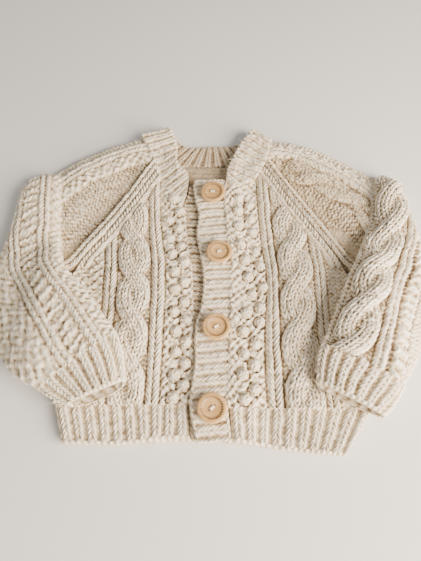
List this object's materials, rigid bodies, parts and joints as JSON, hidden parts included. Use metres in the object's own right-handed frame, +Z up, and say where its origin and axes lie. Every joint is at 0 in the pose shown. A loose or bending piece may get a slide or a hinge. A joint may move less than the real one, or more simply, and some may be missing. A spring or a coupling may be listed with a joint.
{
  "type": "baby cardigan",
  "caption": "Hand-knitted raglan baby cardigan with cables and a bobble strip, buttoned up and laid flat with its sleeves folded over the fronts.",
  "frame": {"origin": "middle of the garment's outline, on the surface that it lies on", "axes": "+Z up from the surface; +Y from the hem towards the neck; +X towards the wearer's left sleeve"},
  "size_m": [0.3358, 0.2836, 0.0265],
  "materials": {
    "wool": "hand-knitted cream aran wool, soft and slightly fuzzy",
    "button": "turned pale wood, sanded and oiled, satin"
  },
  "bodies": {
    "root": {"back": "wool", "back_hem_rib": "wool", "right_front": "wool", "right_front_hem_rib": "wool", "left_front": "wool", "left_front_hem_rib": "wool", "button_band": "wool", "buttonhole_band": "wool", "neckband": "wool", "right_sleeve": "wool", "left_sleeve": "wool", "right_cuff": "wool", "left_cuff": "wool", "button_1": "button", "button_2": "button", "button_3": "button", "button_4": "button"}
  },
  "joints": []
}
